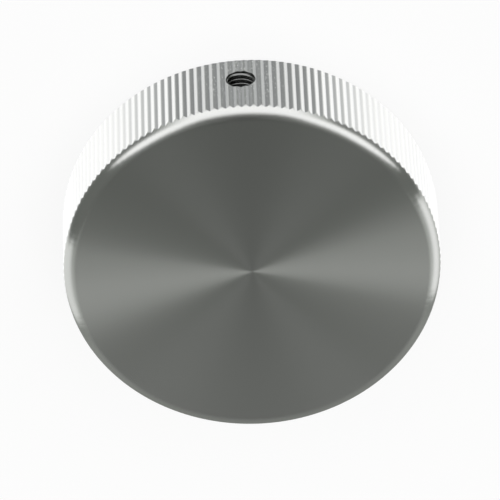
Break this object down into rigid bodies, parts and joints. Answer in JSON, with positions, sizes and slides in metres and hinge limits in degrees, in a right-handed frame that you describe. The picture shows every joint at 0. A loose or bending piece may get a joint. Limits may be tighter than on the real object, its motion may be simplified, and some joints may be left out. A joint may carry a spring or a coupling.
{
  "type": "control knob",
  "caption": "Flat round aluminium control knob with a turned face, rounded front edge, straight-knurled grip and a set screw that clamps it on a shaft.",
  "frame": {"origin": "centre of the back face, on the shaft bore's axis", "axes": "+Z along the knob's axis from the back face to the front face, -Y towards the set screw's hole"},
  "size_m": [0.038, 0.038, 0.01],
  "materials": {
    "body": "bare metal, turned face and edge, straight-knurled side",
    "screw": "black oxide on alloy steel"
  },
  "bodies": {
    "root": {"knob_body": "body", "set_screw": "screw"}
  },
  "joints": []
}
